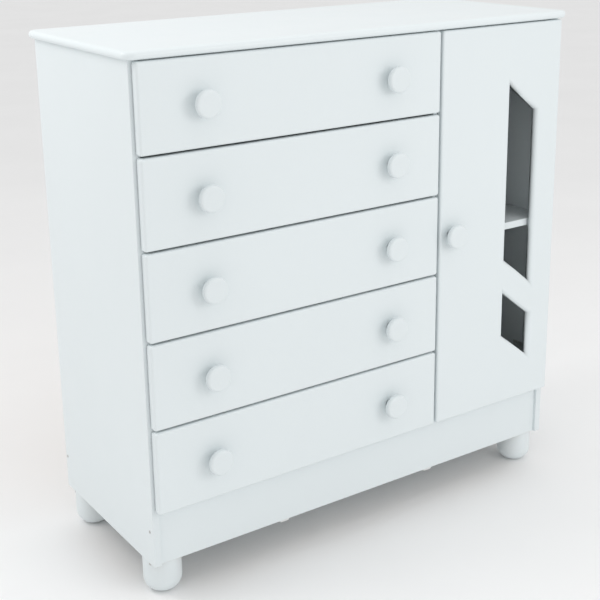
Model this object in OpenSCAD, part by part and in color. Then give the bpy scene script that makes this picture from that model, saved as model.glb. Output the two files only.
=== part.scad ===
// Dresser with a stack of drawers beside a one-door cupboard, made of white board on turned feet.
// Origin: middle of the bounding box in plan, on the floor. +X right, +Y to the back, +Z up.

/* [Carcass] */
// Width over the two side panels
carcass_w = 1000; // [900:10:1100]
// Depth from the side panels' front edges to the rear face of the back panels
carcass_d = 400; // [380:5:450]
// Height of the side panels
side_h = 948; // [948:1:960]
// Thickness of every carcass board
board_t = 15; // [15:1:16]
// Thickness of the nailed back panels
back_t = 3; // [3:0.5:4]
// Distance from the carcass centre to the middle of the partition
partition_x = 167.5; // [140:0.5:190]
// Height of the kick board and of the rear kick rail
kick_h = 110; // [100:1:110]
// How far the kick board stands behind the side panels' front edges
kick_recess = 6; // [4:1:12]
// Height of the shelf's top face above the side panels' bottom edges
shelf_z = 521; // [400:1:650]

/* [Top] */
// Thickness of the top, whose edge is a full half round
top_t = 15; // [15:1:18]
// Overhang of the top past each side panel
top_side = 13; // [8:1:20]
// Overhang of the top past the side panels' front edges
top_front = 20; // [18:1:24]
// Overhang of the top past the back panels
top_back = 10; // [4:1:15]
// Corner radius of the top in plan
top_corner_r = 22; // [18:1:35]

/* [Feet] */
// Height of a foot
foot_h = 74; // [65:1:90]
// Diameter of a foot
foot_d = 75; // [65:1:75]
// Radius of the turned lower edge of a foot
foot_edge_r = 28; // [15:1:30]
// Distance from the side panels' front and rear ends to a foot's centre
foot_inset = 45; // [40:1:60]

/* [Fronts] */
// Thickness of the drawer fronts and the door
front_t = 15; // [15:1:16]
// Clearance between the carcass and the closed fronts
front_gap = 2; // [1.5:0.5:2.5]
// Spacing of the drawer fronts, from one lower edge to the next
front_pitch = 168; // [160:1:168]
// Gap between two drawer fronts
gap_z = 4; // [3:0.5:5]
// Lower edge of the bottom drawer front and of the door, above the side panels' bottom edges
front_z = 114; // [112:1:116]
// Gap under the top, above the top drawer front and the door
gap_top = 2.5; // [2:0.5:5]
// Left side panel edge left uncovered by the drawer fronts
reveal_left = 6.5; // [5:0.5:8]
// Right side panel edge left uncovered by the door
reveal_right = 3.7; // [2:0.1:6]
// Gap between the drawer fronts and the door
gap_x = 5.6; // [4:0.1:7]
// Radius rolled on the front edges and corners of the fronts
front_r = 5; // [3:0.5:6]

/* [Door windows] */
// Left and right edge of both windows, from the carcass centre
win_x = [355, 432];
// Lower and upper end of the upper window's left edge, above the side panels' bottom edges
win_upper = [444, 822];
// Lower and upper end of the lower window's left edge
win_lower = [271, 368.5];
// Drop of the slanted edges per unit of width
win_slope = 0.79; // [0.6:0.01:0.9]
// Radius rolled on the windows' front edges
win_r = 9; // [5:0.5:10]

/* [Knobs] */
// Diameter of a knob
knob_d = 50; // [40:1:55]
// How far a knob stands out from its front
knob_out = 28; // [24:1:32]
// Thickness of the knob's head
knob_head = 13; // [11:1:15]
// Diameter of the knob's neck
knob_neck_d = 20; // [14:1:26]
// Distance between the two knobs of a drawer
knob_spacing = 414; // [380:1:430]
// Distance from the door's left edge to its knob
door_knob_in = 28; // [26:1:40]

/* [Drawers] */
// Thickness of the drawer boxes' boards
box_t = 12; // [10:1:12]
// Height of the drawer boxes' sides
box_h = 105; // [90:1:105]
// Rear end of the drawer boxes, behind the side panels' front edges
box_end = 350; // [330:1:352]
// Lower edge of a box side above the lower edge of its front
box_z = 36; // [36:1:38]
// Thickness of a drawer bottom
bottom_t = 3; // [2.5:0.5:4]
// Height of the bottom's groove above the lower edge of a box side
groove_z = 8; // [6:1:10]
// Room for one runner between a drawer box and the carcass
slide_room = 12.5; // [12.5:0.1:13]

/* [Hidden] */
drawer_count = 5;
drawer_parts = ["front", "left_side", "right_side", "back", "bottom", "knobs", "runners"];
$fn = 48;

white = "whitesmoke";
board_white = "white";
inner_white = "gainsboro";
steel = "silver";
roller_white = "ivory";

side_x = carcass_w/2;                     // outer face of a side panel
inner_x = side_x - board_t;               // inner face of a side panel
part_l = partition_x - board_t/2;         // partition's faces
part_r = partition_x + board_t/2;
panel_d = carcass_d - back_t;             // depth of the carcass boards
front_out = front_gap + front_t;          // front faces, ahead of the carcass
deep_out = front_out + knob_out;          // knob faces, ahead of the carcass
carcass_y = (deep_out - carcass_d - top_back)/2;
base_top = kick_h + board_t;
rail_w = 60;
rail_z = side_h - board_t;
fronts_l = reveal_left - side_x;          // drawer fronts' left and right edges
fronts_r = partition_x - gap_x/2;
door_l = partition_x + gap_x/2;
door_r = side_x - reveal_right;
front_h = front_pitch - gap_z;
fronts_top = side_h - gap_top;
knob_mid = (fronts_l + fronts_r)/2;
eps = 1;                                  // how far a cutter runs past what it cuts

// drawer boxes and runners
box_l = slide_room - inner_x;             // outer faces of a drawer box
box_r = part_l - slide_room;
groove_d = 6;
groove_play = 0.25;
steel_t = 1.2;
rail_half = 11;                           // half the height of a cabinet runner
rail_start = 3;
rail_end = 353;
flange_start = 30;                        // runner flanges begin behind the front roller
front_roller_y = 16;
front_roller_r = 11.5;
rear_roller_y = 338;
rear_roller_r = 9.2;
rail_axis = box_z - 13;                   // runner's middle above the front's lower edge
lip_w = 6;
flange_w = 9.5;
carrier_out = 9.5;                        // drawer runner's flange beside the box side
carrier_web = 12;                         // drawer runner's upright on the box side
run_gap = 0.8;                            // between the drawer runner and the cabinet runner's lip

// hinges
hinge_in = 80;                            // hinges from the door's lower and upper ends
hinge_zs = [front_z + hinge_in, fronts_top - hinge_in];
cup_r = 17.5;
cup_depth = 11.5;
cup_wall = 1;
cup_in = 21.5;                            // cup centre from the door's right edge

// ---------- helpers ----------

// Puts a shape given from the carcass's own corner lines into the row's frame
module in_carcass() { translate([0, carcass_y, foot_h]) children(); }

module block(lo, hi) { translate(lo) cube(hi - lo); }

// Leaves a left-hand shape as it is for m = 1, and makes its right-hand twin for m = -1
module facing(m) { mirror([m < 0 ? 1 : 0, 0, 0]) children(); }

// Flat shape w by h with four round corners
module rounded_rect(w, h, r) {
  translate([r, 0]) square([w - 2*r, h]);
  translate([0, r]) square([w, h - 2*r]);
  for (x = [r, w - r]) for (y = [r, h - r]) translate([x, y]) circle(r);
}

// Flat shape w by t, with round corners on the edge at y = 0 only
module rolled_rect(w, t, r) {
  translate([0, r]) square([w, t - r]);
  translate([r, 0]) square([w - 2*r, t]);
  for (x = [r, w - r]) translate([x, r]) circle(r);
}

// Front w wide, h high, t thick, its face at y = 0, with rolled front edges and corners
module rolled_front(w, h, t, r) {
  intersection() {
    linear_extrude(h) rolled_rect(w, t, r);
    translate([0, t, 0]) rotate([90, 0, 0]) linear_extrude(t) rounded_rect(w, h, r);
    rotate([90, 0, 90]) linear_extrude(w) rolled_profile(t, h, r);
  }
}

// Section of a front, t deep and h high, with the round corners at x = 0
module rolled_profile(t, h, r) {
  translate([r, 0]) square([t - r, h]);
  translate([0, r]) square([t, h - 2*r]);
  for (z = [r, h - r]) translate([r, z]) circle(r);
}

// Board with a half-round edge all round and corners of radius r in plan
module bullnose_board(w, d, t, r) {
  e = t/2;
  translate([e, e, 0]) linear_extrude(t) rounded_rect(w - t, d - t, r - e);
  for (y = [e, d - e]) translate([r, y, e]) rotate([0, 90, 0]) cylinder(r = e, h = w - 2*r);
  for (x = [e, w - e]) translate([x, r, e]) rotate([-90, 0, 0]) cylinder(r = e, h = d - 2*r);
  for (c = [[w - r, d - r, 0], [r, d - r, 90], [r, r, 180], [w - r, r, 270]])
    translate([c[0], c[1], e]) rotate(c[2])
      rotate_extrude(angle = 90) translate([r - e, 0]) circle(e);
}

// ---------- carcass ----------

module top_panel() {
  color(board_white) in_carcass() translate([-side_x - top_side, -top_front, side_h])
    bullnose_board(carcass_w + 2*top_side, carcass_d + top_front + top_back, top_t, top_corner_r);
}

module left_side_panel() {
  color(white) in_carcass() block([-side_x, 0, 0], [-inner_x, panel_d, side_h]);
}

module right_side_panel() {
  color(white) in_carcass() block([inner_x, 0, 0], [side_x, panel_d, side_h]);
}

module centre_partition() {
  color(white) in_carcass() block([part_l, 0, base_top], [part_r, panel_d, side_h]);
}

module base_panel() {
  color(white) in_carcass() block([-inner_x, 0, kick_h], [inner_x, panel_d, base_top]);
}

module kick_board() {
  color(white) in_carcass()
    block([-inner_x, kick_recess, 0], [inner_x, kick_recess + board_t, kick_h]);
}

module rear_kick_rail() {
  color(white) in_carcass() block([-inner_x, panel_d - board_t, 0], [inner_x, panel_d, kick_h]);
}

// Two flat rails under the top, each in two lengths, one on each side of the partition
module top_rail(y) {
  in_carcass() {
    block([-inner_x, y, rail_z], [part_l, y + rail_w, side_h]);
    block([part_r, y, rail_z], [inner_x, y + rail_w, side_h]);
  }
}

module top_front_rail() { color(white) top_rail(0); }

module top_back_rail() { color(white) top_rail(panel_d - rail_w); }

back_play = 1.5;                          // back panels stay inside the carcass outline

module back_panel_left() {
  color(inner_white) in_carcass()
    block([back_play - side_x, panel_d, kick_h], [partition_x - 0.5, carcass_d, side_h - back_play]);
}

module back_panel_right() {
  color(inner_white) in_carcass()
    block([partition_x + 0.5, panel_d, kick_h], [side_x - back_play, carcass_d, side_h - back_play]);
}

shelf_play = 0.5;                         // play between the shelf's ends and the boards
shelf_front = 2;

module cupboard_shelf() {
  color(white) in_carcass()
    block([part_r + shelf_play, shelf_front, shelf_z - board_t],
          [inner_x - shelf_play, panel_d - 2, shelf_z]);
}

pin_r = 2.5;
pin_out = 9;
pin_ys = [40, panel_d - 45];

module shelf_pins() {
  color(steel) in_carcass() for (y = pin_ys) {
    translate([part_r, y, shelf_z - board_t - pin_r]) rotate([0, 90, 0])
      cylinder(r = pin_r, h = pin_out);
    translate([inner_x - pin_out, y, shelf_z - board_t - pin_r]) rotate([0, 90, 0])
      cylinder(r = pin_r, h = pin_out);
  }
}

// ---------- feet ----------

foot_x = side_x - foot_d/2;

// Turned foot with a small flat under a large rolled edge
module foot(sx, y) {
  in_carcass() translate([sx*foot_x, y, -foot_h]) rotate_extrude() {
    translate([0, foot_edge_r]) square([foot_d/2, foot_h - foot_edge_r]);
    square([foot_d/2 - foot_edge_r, foot_edge_r]);
    intersection() {
      translate([foot_d/2 - foot_edge_r, foot_edge_r]) circle(foot_edge_r);
      square([foot_d/2, foot_edge_r]);
    }
  }
}

module foot_front_left() { color(board_white) foot(-1, foot_inset); }
module foot_front_right() { color(board_white) foot(1, foot_inset); }
module foot_back_left() { color(board_white) foot(-1, carcass_d - foot_inset); }
module foot_back_right() { color(board_white) foot(1, carcass_d - foot_inset); }

screw_r = 3;
screw_head = 1;
panel_screw_z = 70;
panel_screw_ys = [kick_recess + board_t/2, panel_d - board_t/2];
foot_screw_z = -6;                        // just under the side panel
foot_screw_turn = 27;                     // degrees from the foot's outermost line

// One low round head on a face that looks along +X
module screw_head_on(x, y, z) {
  translate([x, y, z]) rotate([0, 90, 0]) cylinder(r = screw_r, h = screw_head);
}

// Screw heads on both sides: into the kick board and rear rail, and into the feet
module side_screws() {
  color(steel) in_carcass() for (s = [-1, 1]) facing(s) {
    for (y = panel_screw_ys) screw_head_on(side_x, y, panel_screw_z);
    for (e = [[foot_inset, -1], [carcass_d - foot_inset, 1]])
      translate([foot_x, e[0], foot_screw_z]) rotate(e[1]*foot_screw_turn)
        screw_head_on(foot_d/2, 0, 0);
  }
}

glide_w = 20;
glide_d = 12;
glide_h = 4;
glide_xs = [partition_x, -205];

// Plastic glides under the kick board
module kick_glides() {
  color(roller_white) in_carcass() for (x = glide_xs)
    block([x - glide_w/2, kick_recess + 1, -glide_h],
          [x + glide_w/2, kick_recess + 1 + glide_d, 0]);
}

// ---------- runners fixed to the carcass ----------

// Steel channel of one runner: m is 1 on the drawer's left side and -1 on its right
module cabinet_runner(x, m, z) {
  translate([x, 0, z]) facing(m) {
    block([0, rail_start, -rail_half], [steel_t, rail_end, rail_half]);
    block([0, flange_start, -rail_half], [flange_w, rail_end, steel_t - rail_half]);
    block([0, flange_start, rail_half - steel_t], [lip_w, rail_end, rail_half]);
  }
}

function front_bottom(i) = front_z + i*front_pitch;

module cabinet_runners() {
  color(white) in_carcass() for (i = [0 : drawer_count - 1]) {
    cabinet_runner(-inner_x, 1, front_bottom(i) + rail_axis);
    cabinet_runner(part_l, -1, front_bottom(i) + rail_axis);
  }
}

roller_w = 8.5;

// Nylon roller at a runner's front end, against the channel's web
module front_roller(x, m, z) {
  translate([x, front_roller_y, z]) facing(m) translate([steel_t, 0, 0]) rotate([0, 90, 0])
    cylinder(r = front_roller_r, h = roller_w);
}

module runner_rollers() {
  color(roller_white) in_carcass() for (i = [0 : drawer_count - 1]) {
    front_roller(-inner_x, 1, front_bottom(i) + rail_axis);
    front_roller(part_l, -1, front_bottom(i) + rail_axis);
  }
}

// ---------- hinges ----------

arm_front = 3;
arm_len = 60;
arm_w = 12;                               // how far the arm stands out from the side panel
arm_h = 18;
plate_t = 2;
plate_l = 50;
plate_h = 20;
plate_y = 28;
arm_wall = 1.5;

// Straight mounting plate and hollow arm of one hinge, on the right side panel
module hinge_arm(z) {
  translate([0, 0, z]) {
    block([inner_x - plate_t, plate_y, -plate_h/2],
          [inner_x, plate_y + plate_l, plate_h/2]);
    difference() {
      block([inner_x - plate_t - arm_w, arm_front, -arm_h/2],
            [inner_x - plate_t, arm_front + arm_len, arm_h/2]);
      block([inner_x - plate_t - arm_w + arm_wall, arm_front - eps, arm_wall - arm_h/2],
            [inner_x - plate_t - arm_wall, arm_front + arm_len - 12, arm_h/2 - arm_wall]);
    }
  }
}

module hinge_arms() { color(steel) in_carcass() for (z = hinge_zs) hinge_arm(z); }

cup_x = door_r - cup_in;
flange_t = 0.8;

// Hollow cup let into the door, with its screw flange on the door's rear face
module hinge_cup(z) {
  translate([cup_x, -front_gap, z]) rotate([90, 0, 0]) difference() {
    union() {
      translate([0, 0, -flange_t]) cylinder(r = cup_r + cup_wall, h = flange_t);
      cylinder(r = cup_r, h = cup_depth);
    }
    translate([0, 0, -flange_t - eps])
      cylinder(r = cup_r - cup_wall, h = cup_depth + flange_t + eps - cup_wall);
  }
}

module hinge_cups() { color(steel) in_carcass() for (z = hinge_zs) hinge_cup(z); }

// ---------- door ----------

// Corner number i of a window, grown outwards by g, in the door's plane
function win_corner(span, g, i) =
  let (x = i == 0 || i == 3 ? win_x[0] - g : win_x[1] + g)
  let (rise = g*sqrt(1 + win_slope*win_slope))
  let (z = i < 2 ? span[0] - rise : span[1] + rise)
  [x, z - (x - win_x[0])*win_slope];

function win_corners(span, g) = [for (i = [0:3]) win_corner(span, g, i)];

roll_steps = 6;

// Rings of a window's cut, from behind the door to ahead of it: how far each stands out, and its y
window_rings = concat(
  [[0, eps - front_gap]],
  [for (k = [0 : roll_steps]) let (a = 90*k/roll_steps)
    [win_r*(1 - cos(a)), win_r*(1 - sin(a)) - front_out]],
  [[win_r, -front_out - eps]]);

// What a window with rolled front edges takes off the door
module window_cut(span) {
  rings = len(window_rings);
  points = [for (ring = window_rings) for (c = win_corners(span, ring[0])) [c[0], ring[1], c[1]]];
  sides = [for (k = [0 : rings - 2]) for (i = [0 : 3]) let (j = (i + 1) % 4)
    [4*k + i, 4*k + 4 + i, 4*k + 4 + j, 4*k + j]];
  front_cap = [for (i = [3 : -1 : 0]) 4*(rings - 1) + i];
  polyhedron(points, concat([[0, 1, 2, 3], front_cap], sides));
}

module door_panel() {
  color(white) in_carcass() difference() {
    translate([door_l, -front_out, front_z])
      rolled_front(door_r - door_l, fronts_top - front_z, front_t, front_r);
    window_cut(win_upper);
    window_cut(win_lower);
    for (z = hinge_zs) translate([cup_x, -front_gap + eps, z]) rotate([90, 0, 0])
      cylinder(r = cup_r, h = cup_depth + eps);
  }
}

// ---------- knobs ----------

knob_edge = 5;                            // radius of the head's rim

// Round head on a straight neck, its axis along Y and its foot at y = 0, pointing to -Y
module knob() {
  rotate([90, 0, 0]) rotate_extrude() {
    square([knob_neck_d/2, knob_out - knob_head + 1]);
    translate([0, knob_out - knob_head]) {
      square([knob_d/2 - knob_edge, knob_head]);
      translate([0, knob_edge]) square([knob_d/2, knob_head - 2*knob_edge]);
      for (y = [knob_edge, knob_head - knob_edge])
        translate([knob_d/2 - knob_edge, y]) circle(knob_edge);
    }
  }
}

module door_knob() {
  color(board_white) in_carcass()
    translate([door_l + door_knob_in, -front_out, (front_z + fronts_top)/2]) knob();
}

// ---------- drawers, numbered from the bottom ----------

function front_height(i) = min(front_h, fronts_top - front_bottom(i));
function box_bottom(i) = front_bottom(i) + box_z;

// Room that a drawer's bottom takes in the groove of the boards around it
module groove(i, from, to) {
  z = box_bottom(i) + groove_z;
  block([from[0], from[1], z], [to[0], to[1], z + bottom_t]);
}

module drawer_front(i) {
  color(white) in_carcass() difference() {
    translate([fronts_l, -front_out, front_bottom(i)])
      rolled_front(fronts_r - fronts_l, front_height(i), front_t, front_r);
    groove(i, [box_l + box_t - groove_d, -front_gap - groove_d],
              [box_r - box_t + groove_d, -front_gap + eps]);
  }
}

// Side board of a drawer box with its outer face at x; m is 1 for the left one, -1 for the right
module drawer_side(i, x, m) {
  color(inner_white) in_carcass() difference() {
    translate([x, 0, 0]) facing(m)
      block([0, -front_gap, box_bottom(i)], [box_t, box_end, box_bottom(i) + box_h]);
    translate([x, 0, 0]) facing(m)
      groove(i, [box_t - groove_d, -front_gap - eps], [box_t + eps, box_end + eps]);
  }
}

module drawer_back(i) {
  color(inner_white) in_carcass()
    block([box_l + box_t, box_end - box_t, box_bottom(i) + groove_z + bottom_t],
          [box_r - box_t, box_end, box_bottom(i) + box_h]);
}

module drawer_bottom(i) {
  color(inner_white) in_carcass()
    groove(i, [box_l + box_t - groove_d + groove_play, -front_gap - groove_d + groove_play],
              [box_r - box_t + groove_d - groove_play, box_end]);
}

module drawer_knobs(i) {
  color(board_white) in_carcass() for (s = [-1, 1])
    translate([knob_mid + s*knob_spacing/2, -front_out, front_bottom(i) + front_height(i)/2])
      knob();
}

// Steel angle under a drawer side with the roller at its rear end
module drawer_runner(x, m, z) {
  ride_z = rail_half + run_gap;
  translate([x, 0, z]) facing(m) {
    block([-carrier_out, 0, ride_z], [box_t, box_end, ride_z + steel_t]);
    block([-steel_t, 0, ride_z], [0, box_end, ride_z + steel_t + carrier_web]);
    block([-steel_t, rear_roller_y - 8, -rear_roller_r], [0, box_end, ride_z + eps]);
    translate([-steel_t, rear_roller_y, 0]) rotate([0, -90, 0])
      cylinder(r = rear_roller_r, h = roller_w);
  }
}

module drawer_runners(i) {
  color(white) in_carcass() {
    drawer_runner(box_l, 1, front_bottom(i) + rail_axis);
    drawer_runner(box_r, -1, front_bottom(i) + rail_axis);
  }
}

top_panel();
left_side_panel();
right_side_panel();
centre_partition();
base_panel();
kick_board();
rear_kick_rail();
top_front_rail();
top_back_rail();
back_panel_left();
back_panel_right();
cupboard_shelf();
shelf_pins();
foot_front_left();
foot_front_right();
foot_back_left();
foot_back_right();
side_screws();
kick_glides();
cabinet_runners();
runner_rollers();
hinge_arms();
door_panel();
door_knob();
hinge_cups();
for (i = [0 : drawer_count - 1]) {
  name = str("drawer_", i + 1);
  drawer_front(i);
  drawer_side(i, box_l, 1);
  drawer_side(i, box_r, -1);
  drawer_back(i);
  drawer_bottom(i);
  drawer_knobs(i);
  drawer_runners(i);
}
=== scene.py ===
# A white dresser: drawers beside a one-door cupboard, on turned feet. Metres, in the CAD's frame.
import math

import bmesh
import bpy
from mathutils import Matrix, Vector


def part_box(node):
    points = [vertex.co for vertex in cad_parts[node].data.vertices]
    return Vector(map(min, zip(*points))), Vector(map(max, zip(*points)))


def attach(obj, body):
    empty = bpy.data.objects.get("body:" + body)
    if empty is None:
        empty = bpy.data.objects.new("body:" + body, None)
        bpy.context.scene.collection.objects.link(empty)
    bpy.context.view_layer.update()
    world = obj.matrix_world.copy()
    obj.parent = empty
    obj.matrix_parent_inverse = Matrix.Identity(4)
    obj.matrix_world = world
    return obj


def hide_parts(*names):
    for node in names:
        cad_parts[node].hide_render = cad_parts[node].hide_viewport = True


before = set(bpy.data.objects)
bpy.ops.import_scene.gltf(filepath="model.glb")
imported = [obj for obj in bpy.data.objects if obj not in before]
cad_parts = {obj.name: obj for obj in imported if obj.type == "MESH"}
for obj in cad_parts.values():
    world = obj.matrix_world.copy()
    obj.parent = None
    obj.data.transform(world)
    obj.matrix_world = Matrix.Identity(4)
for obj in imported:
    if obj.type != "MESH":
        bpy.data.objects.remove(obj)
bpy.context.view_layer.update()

MM = 0.001
DRAWERS = [f"drawer_{i}" for i in range(1, 6)]
LEFT, UP, FRONT = Vector((-1, 0, 0)), Vector((0, 0, 1)), Vector((0, -1, 0))
RIGHT, BACK = -LEFT, -FRONT


# ---------- materials ----------

class Shader:
    """A material's node tree, with short calls for the nodes that this scene uses."""

    def __init__(self, name):
        self.material = bpy.data.materials.new(name)
        self.material.use_nodes = True
        self.tree = self.material.node_tree
        self.bsdf = self.tree.nodes["Principled BSDF"]
        self.place = self.tree.nodes.new("ShaderNodeTexCoord").outputs["Object"]

    def stretched(self, scale):
        node = self.tree.nodes.new("ShaderNodeMapping")
        node.inputs["Scale"].default_value = scale
        self.tree.links.new(self.place, node.inputs["Vector"])
        return node.outputs["Vector"]

    def noise(self, scale, detail=3.0, vector=None):
        node = self.tree.nodes.new("ShaderNodeTexNoise")
        node.inputs["Scale"].default_value = scale
        node.inputs["Detail"].default_value = detail
        self.tree.links.new(vector or self.place, node.inputs["Vector"])
        return node.outputs["Fac"]

    def cells(self, scale):
        node = self.tree.nodes.new("ShaderNodeTexVoronoi")
        node.inputs["Scale"].default_value = scale
        self.tree.links.new(self.place, node.inputs["Vector"])
        return node.outputs["Color"]

    def ramp(self, value, low, high, start=0.3, end=0.7):
        node = self.tree.nodes.new("ShaderNodeValToRGB")
        for stop, place, colour in zip(node.color_ramp.elements, (start, end), (low, high)):
            stop.position = place
            stop.color = (*colour, 1.0)
        self.tree.links.new(value, node.inputs["Fac"])
        return node.outputs["Color"]

    def span(self, value, low, high):
        node = self.tree.nodes.new("ShaderNodeMapRange")
        node.inputs["From Min"].default_value = 0.3
        node.inputs["From Max"].default_value = 0.7
        node.inputs["To Min"].default_value = low
        node.inputs["To Max"].default_value = high
        self.tree.links.new(value, node.inputs["Value"])
        return node.outputs["Result"]

    def multiply(self, a, b):
        # a Mix node's colour inputs are its sockets 6 and 7, and its colour output is socket 2
        node = self.tree.nodes.new("ShaderNodeMix")
        node.data_type = "RGBA"
        node.blend_type = "MULTIPLY"
        node.inputs[0].default_value = 1.0
        self.tree.links.new(a, node.inputs[6])
        self.tree.links.new(b, node.inputs[7])
        return node.outputs[2]

    def bump(self, height, strength, depth, under=None):
        node = self.tree.nodes.new("ShaderNodeBump")
        node.inputs["Strength"].default_value = strength
        node.inputs["Distance"].default_value = depth
        self.tree.links.new(height, node.inputs["Height"])
        if under is not None:
            self.tree.links.new(under, node.inputs["Normal"])
        return node.outputs["Normal"]

    def done(self, colour, roughness, normal, metallic=0.0, specular=0.5):
        for socket, value in (("Base Color", colour), ("Roughness", roughness), ("Normal", normal)):
            self.tree.links.new(value, self.bsdf.inputs[socket])
        self.bsdf.inputs["Metallic"].default_value = metallic
        self.bsdf.inputs["Specular IOR Level"].default_value = specular
        return self.material


def tone(colour, factor):
    return tuple(c * factor for c in colour)


def coated(name, colour, vary, rough, grain, depth, specular=0.5, stretch=(1, 1, 1)):
    """A painted, foiled or moulded surface: broad cloudiness, fine grain and a slow waviness."""
    s = Shader(name)
    cloud = s.ramp(s.noise(3.0, 4.0), tone(colour, 1 - vary), colour)
    fleck = s.ramp(s.noise(900.0, 2.0), tone((1, 1, 1), 1 - vary), (1, 1, 1))
    fine = s.noise(grain, 3.0, s.stretched(stretch))
    roughness = s.span(s.noise(14.0, 4.0), rough - 0.05, rough + 0.05)
    wave = s.bump(s.noise(6.0, 2.0), 0.15, 0.6 * MM)
    return s.done(s.multiply(cloud, fleck), roughness, s.bump(fine, 0.35, depth, wave),
                  specular=specular)


def chipboard(name):
    s = Shader(name)
    chips = s.ramp(s.cells(420.0), (0.34, 0.24, 0.15), (0.62, 0.48, 0.33), 0.2, 0.8)
    dust = s.ramp(s.noise(1500.0, 4.0), (0.80, 0.78, 0.75), (1, 1, 1))
    roughness = s.span(s.noise(300.0), 0.80, 0.95)
    return s.done(s.multiply(chips, dust), roughness, s.bump(s.noise(700.0, 4.0), 0.6, 0.3 * MM),
                  specular=0.2)


def fibreboard(name):
    s = Shader(name)
    fibre = s.noise(500.0, 5.0, s.stretched((1, 1, 0.25)))
    colour = s.ramp(fibre, (0.30, 0.185, 0.10), (0.44, 0.29, 0.17))
    cloud = s.ramp(s.noise(9.0, 4.0), (0.86, 0.86, 0.86), (1, 1, 1))
    return s.done(s.multiply(colour, cloud), s.span(s.noise(200.0), 0.65, 0.85),
                  s.bump(s.noise(900.0, 4.0), 0.4, 0.15 * MM), specular=0.25)


def plated(name):
    s = Shader(name)
    brushed = s.noise(900.0, 3.0, s.stretched((0.06, 1, 1)))
    colour = s.ramp(brushed, (0.56, 0.56, 0.55), (0.72, 0.72, 0.70))
    cloud = s.ramp(s.noise(60.0), (0.88, 0.88, 0.88), (1, 1, 1))
    return s.done(s.multiply(colour, cloud), s.span(s.noise(250.0, 4.0), 0.24, 0.42),
                  s.bump(brushed, 0.2, 0.03 * MM), metallic=1.0)


COOL_WHITE = (0.775, 0.83, 0.845)
BOARD = coated("white_laminate", COOL_WHITE,
               vary=0.015, rough=0.42, grain=1400.0, depth=0.05 * MM)
BAND = coated("white_edge_band", tone(COOL_WHITE, 0.985),
              vary=0.02, rough=0.36, grain=800.0, depth=0.04 * MM)
TOP = coated("white_top_foil", tone(COOL_WHITE, 1.03),
             vary=0.012, rough=0.36, grain=1200.0, depth=0.04 * MM)
TURNED = coated("white_turned_paint", tone(COOL_WHITE, 0.99),
                vary=0.02, rough=0.40, grain=700.0, depth=0.06 * MM)
BOX_BOARD = coated("matt_box_foil", (0.76, 0.78, 0.78), vary=0.03, rough=0.60, grain=1000.0,
                   depth=0.08 * MM, specular=0.35, stretch=(1, 0.15, 1))
STEEL_PAINT = coated("white_enamelled_steel", (0.79, 0.80, 0.79),
                     vary=0.02, rough=0.30, grain=350.0, depth=0.03 * MM)
NYLON = coated("white_nylon", (0.76, 0.775, 0.77),
               vary=0.03, rough=0.48, grain=600.0, depth=0.04 * MM)
RAW = chipboard("raw_chipboard")
FIBRE = fibreboard("brown_hardboard")
PLATED = plated("nickel_plated_steel")


# ---------- mesh helpers ----------

SHARP = math.radians(40)
WELD, FLAT = 0.002 * MM, math.radians(0.3)
MIN_R = 0.02 * MM


def piece(name, bm, body, materials, replaces=(), bevel=0.0):
    """Turns a bmesh in the CAD's frame into a piece that rides on a body."""
    bmesh.ops.recalc_face_normals(bm, faces=bm.faces)
    for face in bm.faces:
        face.smooth = True
    mesh = bpy.data.meshes.new(name)
    bm.to_mesh(mesh)
    bm.free()
    for material in materials:
        mesh.materials.append(material)
    made = bpy.data.objects.new(name, mesh)
    bpy.context.scene.collection.objects.link(made)
    if bevel:
        soft = made.modifiers.new("edge", "BEVEL")
        soft.width = bevel
        soft.segments = 3
        soft.limit_method = "ANGLE"
        soft.angle_limit = SHARP
    flat = made.modifiers.new("flat_faces", "WEIGHTED_NORMAL")
    flat.weight = 100
    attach(made, body)
    if replaces:
        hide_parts(*replaces)
    return made


def refined(node, body, materials, bevel, choose=None):
    """A CAD node's own shape with its edges softened, and a material chosen face by face."""
    bm = bmesh.new()
    bm.from_mesh(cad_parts[node].data)
    bmesh.ops.remove_doubles(bm, verts=bm.verts, dist=WELD)
    bmesh.ops.dissolve_limit(bm, angle_limit=FLAT, verts=bm.verts, edges=bm.edges)
    bm.normal_update()
    for face in bm.faces:
        face.material_index = choose(face.calc_center_median(), face.normal) if choose else 0
    return piece(f"{node}_shape", bm, body, materials, [node], bevel)


def ring(bm, points):
    return [bm.verts.new(p) for p in points]


def bridge(bm, rings):
    for low, high in zip(rings, rings[1:]):
        for i in range(len(low)):
            j = (i + 1) % len(low)
            bm.faces.new((low[i], low[j], high[j], high[i]))


def arc(centre, r, start, end, steps):
    """Points on an arc, in degrees, as (along the first axis, along the second)."""
    turns = [math.radians(start + (end - start) * k / steps) for k in range(steps + 1)]
    return [(centre[0] + r * math.cos(a), centre[1] + r * math.sin(a)) for a in turns]


def rounded_outline(lo, hi, r, steps=10):
    """Flat outline with round corners, anticlockwise; r may be next to nothing."""
    r = max(r, MIN_R)
    corners = [(hi[0] - r, lo[1] + r, -90), (hi[0] - r, hi[1] - r, 0),
               (lo[0] + r, hi[1] - r, 90), (lo[0] + r, lo[1] + r, 180)]
    return [p for x, y, a in corners for p in arc((x, y), r, a, a + 90, steps)]


def lathe(bm, profile, centre, axis, segments=64):
    """Turns a profile of (radius, distance along the axis), and closes both of its ends."""
    side = axis.orthogonal().normalized()
    other = axis.cross(side)
    turns = [2 * math.pi * k / segments for k in range(segments)]
    rings = []
    for radius, along in profile:
        middle = centre + axis * along
        rings.append(ring(bm, [middle + radius * (side * math.cos(a) + other * math.sin(a))
                               for a in turns]))
    bridge(bm, rings)
    bm.faces.new(rings[0])
    bm.faces.new(rings[-1])


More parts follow.
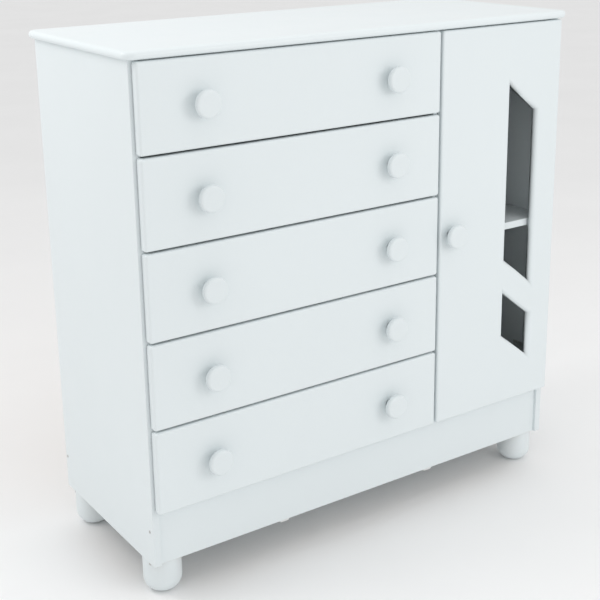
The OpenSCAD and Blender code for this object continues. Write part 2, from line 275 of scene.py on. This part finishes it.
def fill(bm, loops):
    """Flat face between an outer loop and the loops of its holes."""
    edges = [bm.edges.get((a, b)) or bm.edges.new((a, b))
             for loop in loops for a, b in zip(loop, loop[1:] + loop[:1])]
    bmesh.ops.triangle_fill(bm, edges=edges, use_beauty=True)


# ---------- fixings ----------

def cross_head(bm, base, axis, r, h):
    """Low domed screw head with a cross recess, its foot on a surface that looks along axis."""
    side = axis.orthogonal().normalized()
    other = axis.cross(side)

    def at(u, v, w):
        return base + side * u + other * v + axis * w

    turns = [2 * math.pi * k / 32 for k in range(32)]
    profile = [(r, 0), (r, 0.35 * h), (0.93 * r, 0.7 * h), (0.8 * r, h)]
    rings = [ring(bm, [at(q * math.cos(a), q * math.sin(a), w) for a in turns])
             for q, w in profile]
    bridge(bm, rings)
    bm.faces.new(rings[0])
    long, half = 0.55 * r, 0.13 * r
    cross = [(long, -half), (long, half), (half, half), (half, long), (-half, long), (-half, half),
             (-long, half), (-long, -half), (-half, -half), (-half, -long), (half, -long),
             (half, -half)]
    mouth = ring(bm, [at(u, v, h) for u, v in cross])
    floor = ring(bm, [at(0.8 * u, 0.8 * v, 0.4 * h) for u, v in cross])
    fill(bm, [rings[-1], mouth])
    bridge(bm, [floor, mouth])
    fill(bm, [floor])


def screws(name, places, axis, r, h, body, replaces=()):
    bm = bmesh.new()
    for place in places:
        cross_head(bm, Vector(place), axis, r, h)
    return piece(name, bm, body, [PLATED], replaces)


# ---------- carcass ----------

EDGE = 0.6 * MM
FACING = 0.9


def board_faces(node):
    """Laminate on a board's broad faces, banding on its seen edges, chipboard on the others."""
    lo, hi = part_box(node)
    size = hi - lo
    thin = min(range(3), key=lambda k: size[k])

    def choose(_, normal):
        if abs(normal[thin]) > FACING:
            return 0
        return 2 if normal.y > FACING or normal.z < -FACING else 1
    return choose


for node in ("left_side_panel", "right_side_panel", "centre_partition", "base_panel",
             "kick_board", "rear_kick_rail", "top_front_rail", "top_back_rail",
             "cupboard_shelf"):
    refined(node, "root", [BOARD, BAND, RAW], EDGE, board_faces(node))

for node in ("back_panel_left", "back_panel_right"):
    refined(node, "root", [BOX_BOARD, FIBRE], 0.3 * MM,
            lambda _, normal: 0 if normal.y < -FACING else 1)

TOP_CORNER_R = 22 * MM


def build_top():
    lo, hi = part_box("top_panel")
    e = (hi.z - lo.z) / 2
    bm = bmesh.new()
    rings = []
    for out, up in arc((0, 0), e, -90, 90, 20):
        inset = e - out
        outline = rounded_outline((lo.x + inset, lo.y + inset), (hi.x - inset, hi.y - inset),
                                  TOP_CORNER_R - inset, 16)
        rings.append(ring(bm, [(x, y, lo.z + e + up) for x, y in outline]))
    bridge(bm, rings)
    bm.faces.new(rings[0])
    bm.faces.new(rings[-1])
    piece("top_panel_shape", bm, "root", [TOP], ["top_panel"])


FOOT_EDGE_R, FOOT_TOP_R = 28 * MM, 0.8 * MM


def build_foot(node):
    lo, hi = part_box(node)
    r, h = (hi.x - lo.x) / 2, hi.z - lo.z
    profile = [(r - FOOT_EDGE_R - FOOT_TOP_R, 0)]
    profile += arc((r - FOOT_EDGE_R, FOOT_EDGE_R), FOOT_EDGE_R, -90, 0, 24)
    profile += arc((r - FOOT_TOP_R, h - FOOT_TOP_R), FOOT_TOP_R, 0, 90, 4)
    bm = bmesh.new()
    lathe(bm, profile, Vector(((lo.x + hi.x) / 2, (lo.y + hi.y) / 2, lo.z)), UP, 96)
    piece(f"{node}_shape", bm, "root", [TURNED], [node])


build_top()
for node in ("foot_front_left", "foot_front_right", "foot_back_left", "foot_back_right"):
    build_foot(node)

refined("kick_glides", "root", [NYLON], 0.5 * MM)
refined("shelf_pins", "root", [PLATED], 0.3 * MM)

SCREW_R, SCREW_H = 3 * MM, 1 * MM
PANEL_SCREW_UP = 70 * MM
FOOT_SCREW_DOWN = 6 * MM
FOOT_SCREW_TURN = math.radians(27)


def build_side_screws():
    bm = bmesh.new()
    kick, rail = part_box("kick_board"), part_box("rear_kick_rail")
    for s, panel in ((-1, "left_side_panel"), (1, "right_side_panel")):
        lo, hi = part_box(panel)
        face = hi.x if s > 0 else lo.x
        for board in (kick, rail):
            y = (board[0].y + board[1].y) / 2
            cross_head(bm, Vector((face, y, lo.z + PANEL_SCREW_UP)), RIGHT * s, SCREW_R, SCREW_H)
        for end, e in (("front", -1), ("back", 1)):
            flo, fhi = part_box(f"foot_{end}_{'right' if s > 0 else 'left'}")
            out = Vector((s * math.cos(FOOT_SCREW_TURN), e * math.sin(FOOT_SCREW_TURN), 0))
            centre = Vector(((flo.x + fhi.x) / 2, (flo.y + fhi.y) / 2, fhi.z - FOOT_SCREW_DOWN))
            cross_head(bm, centre + out * (fhi.x - flo.x) / 2, out, SCREW_R, SCREW_H)
    piece("side_screws_shape", bm, "root", [PLATED], ["side_screws"])


build_side_screws()

NAIL_R, NAIL_H, NAIL_IN, NAIL_STEP = 1.6 * MM, 0.5 * MM, 8 * MM, 0.15


def build_nails(node):
    lo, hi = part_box(node)
    bm = bmesh.new()
    x0, x1, z0, z1 = lo.x + NAIL_IN, hi.x - NAIL_IN, lo.z + NAIL_IN, hi.z - NAIL_IN
    wide, high = round((x1 - x0) / NAIL_STEP), round((z1 - z0) / NAIL_STEP)
    places = [(x0 + (x1 - x0) * i / wide, z) for i in range(wide + 1) for z in (z0, z1)]
    places += [(x, z0 + (z1 - z0) * i / high) for i in range(1, high) for x in (x0, x1)]
    for x, z in places:
        lathe(bm, [(NAIL_R, 0), (NAIL_R, 0.6 * NAIL_H), (0.7 * NAIL_R, NAIL_H)],
              Vector((x, hi.y, z)), BACK, 16)
    piece(f"{node}_nails", bm, "root", [PLATED])


for node in ("back_panel_left", "back_panel_right"):
    build_nails(node)


# ---------- fronts ----------

FRONT_R = 5 * MM
BACK_EDGE = 0.5 * MM


def front_rings(bm, lo, hi):
    """Outline rings of a front, from its rear face to its front face."""
    levels = [(BACK_EDGE, hi.y), (0, hi.y - BACK_EDGE)]
    levels += [(FRONT_R - out, lo.y + FRONT_R - up)
               for out, up in arc((0, 0), FRONT_R, 0, 89, 10)]
    rings = []
    for inset, y in levels:
        outline = rounded_outline((lo.x + inset, lo.z + inset), (hi.x - inset, hi.z - inset),
                                  FRONT_R - inset)
        rings.append(ring(bm, [(x, y, z) for x, z in outline]))
    return rings


def build_drawer_front(drawer):
    node = f"{drawer}_front"
    bm = bmesh.new()
    rings = front_rings(bm, *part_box(node))
    bridge(bm, rings)
    bm.faces.new(rings[0])
    bm.faces.new(rings[-1])
    piece(f"{node}_shape", bm, drawer, [BOARD], [node])


WIN_X = (355 * MM, 432 * MM)
WIN_SPANS = ((444 * MM, 822 * MM), (271 * MM, 368.5 * MM))
WIN_SLOPE = 0.79
WIN_R = 9 * MM
CUP_R, CUP_DEPTH, CUP_WALL, CUP_IN = 17.5 * MM, 11.5 * MM, 1 * MM, 21.5 * MM
HINGE_IN = 80 * MM


def window_outline(span, grow):
    """A window's four corners, grown outwards, as (x, height over the side panels' lower edge)."""
    rise = grow * math.sqrt(1 + WIN_SLOPE ** 2)
    corners = [(WIN_X[0] - grow, span[0] - rise), (WIN_X[1] + grow, span[0] - rise),
               (WIN_X[1] + grow, span[1] + rise), (WIN_X[0] - grow, span[1] + rise)]
    return [(x, z - (x - WIN_X[0]) * WIN_SLOPE) for x, z in corners]


def hinge_places():
    lo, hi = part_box("door_panel")
    return [Vector((hi.x - CUP_IN, hi.y, z)) for z in (lo.z + HINGE_IN, hi.z - HINGE_IN)]


def build_door():
    lo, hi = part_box("door_panel")
    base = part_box("left_side_panel")[0].z
    bm = bmesh.new()
    outer = front_rings(bm, lo, hi)
    bridge(bm, outer)
    rear, front = [outer[0]], [outer[-1]]
    levels = [(0, hi.y)] + [(WIN_R - out, lo.y + WIN_R - up)
                            for out, up in arc((0, 0), WIN_R, 0, 90, 14)]
    for span in WIN_SPANS:
        rings = [ring(bm, [(x, y, base + z) for x, z in window_outline(span, grow)])
                 for grow, y in levels]
        bridge(bm, rings)
        rear.append(rings[0])
        front.append(rings[-1])
    for place in hinge_places():
        turns = [2 * math.pi * k / 48 for k in range(48)]
        wall = [ring(bm, [place + Vector((CUP_R * math.cos(a), -depth, CUP_R * math.sin(a)))
                          for a in turns]) for depth in (0, CUP_DEPTH)]
        bridge(bm, wall)
        bm.faces.new(wall[1])
        rear.append(wall[0])
    # the front rings end a hair short of the face's plane, so level them before filling
    for vert in outer[-1]:
        vert.co.y = lo.y
    fill(bm, rear)
    fill(bm, front)
    piece("door_panel_shape", bm, "door", [BOARD], ["door_panel"])


for drawer in DRAWERS:
    build_drawer_front(drawer)
build_door()


# ---------- knobs ----------

KNOB_HEAD, KNOB_EDGE, NECK_R, NECK_FILLET = 13 * MM, 5 * MM, 10 * MM, 1.5 * MM
FRONT_T = 15 * MM
KNOB_SCREW_R, KNOB_SCREW_H = 4 * MM, 2 * MM


def build_knobs(node, body):
    lo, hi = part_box(node)
    r, out = (hi.z - lo.z) / 2, hi.y - lo.y
    back = out - KNOB_HEAD
    profile = [(NECK_R, 0), (NECK_R, back - NECK_FILLET)]
    profile += arc((NECK_R + NECK_FILLET, back - NECK_FILLET), NECK_FILLET, 180, 90, 5)
    profile += arc((r - KNOB_EDGE, back + KNOB_EDGE), KNOB_EDGE, -90, 0, 12)
    profile += arc((r - KNOB_EDGE, out - KNOB_EDGE), KNOB_EDGE, 0, 90, 12)
    z = (lo.z + hi.z) / 2
    # one knob or two: a lone knob's two places are the same
    xs = sorted({round(lo.x + r, 5), round(hi.x - r, 5)})
    bm = bmesh.new()
    for x in xs:
        lathe(bm, profile, Vector((x, hi.y, z)), FRONT, 96)
    piece(f"{node}_shape", bm, body, [TURNED], [node])
    screws(f"{node}_screws", [(x, hi.y + FRONT_T, z) for x in xs],
           BACK, KNOB_SCREW_R, KNOB_SCREW_H, body)


for drawer in DRAWERS:
    build_knobs(f"{drawer}_knobs", drawer)
build_knobs("door_knob", "door")


# ---------- drawer boxes and runners ----------

ROLLER_UP, ROLLER_IN = 9.2 * MM, 12 * MM
ROLLER_REACH, ROLLER_W = 9.6 * MM, 8.6 * MM


def roller_faces(node):
    """Nylon on the rollers at the rear of a drawer's runners, enamelled steel on the rest."""
    lo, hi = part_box(node)

    def choose(centre, _):
        in_roller = (abs(centre.y - (hi.y - ROLLER_IN)) < ROLLER_REACH
                     and abs(centre.z - (lo.z + ROLLER_UP)) < ROLLER_REACH)
        beside = min(centre.x - lo.x, hi.x - centre.x) < ROLLER_W
        return 1 if in_roller and beside else 0
    return choose


for drawer in DRAWERS:
    for side in ("left_side", "right_side", "back"):
        node = f"{drawer}_{side}"
        refined(node, drawer, [BOX_BOARD, RAW], 0.5 * MM,
                lambda _, normal: 1 if normal.z < -FACING else 0)
    refined(f"{drawer}_bottom", drawer, [BOX_BOARD, FIBRE], 0.2 * MM,
            lambda _, normal: 0 if normal.z > FACING else 1)
    node = f"{drawer}_runners"
    refined(node, drawer, [STEEL_PAINT, NYLON], 0.25 * MM, roller_faces(node))

refined("cabinet_runners", "root", [STEEL_PAINT], 0.25 * MM)
refined("runner_rollers", "root", [NYLON], 0.5 * MM)

RUNNER_T = 1.2 * MM
RUNNER_SCREW_YS = (55 * MM, 185 * MM, 315 * MM)
RUNNER_SCREW_R, RUNNER_SCREW_H = 3.2 * MM, 1.0 * MM


def build_runner_screws():
    lo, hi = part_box("cabinet_runners")
    for drawer in DRAWERS:
        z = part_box(f"{drawer}_runners")[0].z + ROLLER_UP
        for side, x, axis in (("left", lo.x + RUNNER_T, RIGHT), ("right", hi.x - RUNNER_T, LEFT)):
            screws(f"{drawer}_runner_screws_{side}", [(x, lo.y + y, z) for y in RUNNER_SCREW_YS],
                   axis, RUNNER_SCREW_R, RUNNER_SCREW_H, "root")


build_runner_screws()


# ---------- hinges ----------

refined("hinge_arms", "root", [PLATED], 0.4 * MM)


CUP_PLAY, CUP_FLOOR, CUP_SOFT = 0.2 * MM, 1 * MM, 1 * MM


def build_hinge_cups():
    bm = bmesh.new()
    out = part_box("hinge_cups")[1].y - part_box("door_panel")[1].y
    inner, outer = CUP_R - CUP_WALL, CUP_R - CUP_PLAY
    profile = [(outer, -CUP_DEPTH + CUP_PLAY), (outer, 0),
               (CUP_R + CUP_WALL, 0), (CUP_R + CUP_WALL, out), (inner, out),
               (inner, CUP_FLOOR + CUP_SOFT - CUP_DEPTH), (inner - CUP_SOFT, CUP_FLOOR - CUP_DEPTH)]
    for place in hinge_places():
        lathe(bm, profile, place, BACK)
    piece("hinge_cups_shape", bm, "door", [PLATED], ["hinge_cups"])


build_hinge_cups()

PLATE_T, ARM_OUT = 2 * MM, 14 * MM
PLATE_SCREW_BACK, PLATE_SCREW_R, PLATE_SCREW_H = 68 * MM, 3.5 * MM, 1.2 * MM
ARM_SCREW_BACKS, ARM_SCREW_R, ARM_SCREW_H = (17 * MM, 47 * MM), 3 * MM, 1 * MM


def build_hinge_screws():
    """The screw behind each arm that holds its plate, and the two that adjust the arm."""
    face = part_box("right_side_panel")[0]
    bm = bmesh.new()
    for place in hinge_places():
        cross_head(bm, Vector((face.x - PLATE_T, face.y + PLATE_SCREW_BACK, place.z)), LEFT,
                   PLATE_SCREW_R, PLATE_SCREW_H)
        for back in ARM_SCREW_BACKS:
            cross_head(bm, Vector((face.x - ARM_OUT, face.y + back, place.z)), LEFT,
                       ARM_SCREW_R, ARM_SCREW_H)
    piece("hinge_screws", bm, "root", [PLATED])


build_hinge_screws()


# ---------- floor, light and camera ----------

FLOOR_R = 30.0


def build_floor():
    bm = bmesh.new()
    bmesh.ops.create_circle(bm, cap_ends=True, segments=96, radius=FLOOR_R)
    mesh = bpy.data.meshes.new("floor")
    bm.to_mesh(mesh)
    bm.free()
    floor = bpy.data.objects.new("floor", mesh)
    s = Shader("pale_floor")
    colour = s.ramp(s.noise(2.0), (0.90, 0.90, 0.90), (0.92, 0.92, 0.92))
    mesh.materials.append(s.done(colour, s.span(s.noise(5.0), 0.85, 0.95),
                                 s.bump(s.noise(300.0), 0.05, 0.1 * MM), specular=0.1))
    bpy.context.scene.collection.objects.link(floor)


LAMPS = (("key", (0.7, -2.1, 1.3), 1.3, 7.6),
         ("side", (-1.6, 0.6, 2.0), 1.0, 9.0),
         ("top", (0.2, -0.3, 3.2), 2.0, 6.5))
LAMP_AIM = Vector((0, 0, 0.5))
SKY = 0.84


def build_light():
    """An even white room, with soft lamps ahead on the right, on the left and above."""
    world = bpy.data.worlds.new("studio")
    world.use_nodes = True
    sky = world.node_tree.nodes["Background"]
    sky.inputs["Color"].default_value = (1, 1, 1, 1)
    sky.inputs["Strength"].default_value = SKY
    bpy.context.scene.world = world
    for name, place, size, power in LAMPS:
        lamp = bpy.data.lights.new(name, "AREA")
        lamp.shape = "DISK"
        lamp.size = size
        lamp.energy = power
        made = bpy.data.objects.new(name, lamp)
        made.location = place
        made.rotation_euler = (LAMP_AIM - Vector(place)).to_track_quat("-Z", "Y").to_euler()
        made.visible_camera = False
        bpy.context.scene.collection.objects.link(made)


SENSOR = 36.0
FOCAL = 70.19
SHIFT_UP = -0.115
CAMERA_PLACE = Vector((-1.344, -1.9323, 1.282))
YAW, PITCH, ROLL = (math.radians(a) for a in (34.03, 16.15, -0.86))


def build_camera():
    ahead = Vector((math.sin(YAW) * math.cos(PITCH), math.cos(YAW) * math.cos(PITCH),
                    -math.sin(PITCH)))
    right = Vector((math.cos(YAW), -math.sin(YAW), 0))
    up = right.cross(ahead)
    x = right * math.cos(ROLL) + up * math.sin(ROLL)
    y = up * math.cos(ROLL) - right * math.sin(ROLL)
    lens = bpy.data.cameras.new("camera")
    lens.sensor_width = SENSOR
    lens.lens = FOCAL
    lens.shift_y = SHIFT_UP
    camera = bpy.data.objects.new("camera", lens)
    turn = Matrix((x, y, -ahead)).transposed().to_4x4()
    camera.matrix_world = Matrix.Translation(CAMERA_PLACE) @ turn
    bpy.context.scene.collection.objects.link(camera)
    bpy.context.scene.camera = camera


build_floor()
build_light()
build_camera()
bpy.context.scene.view_settings.view_transform = "Standard"
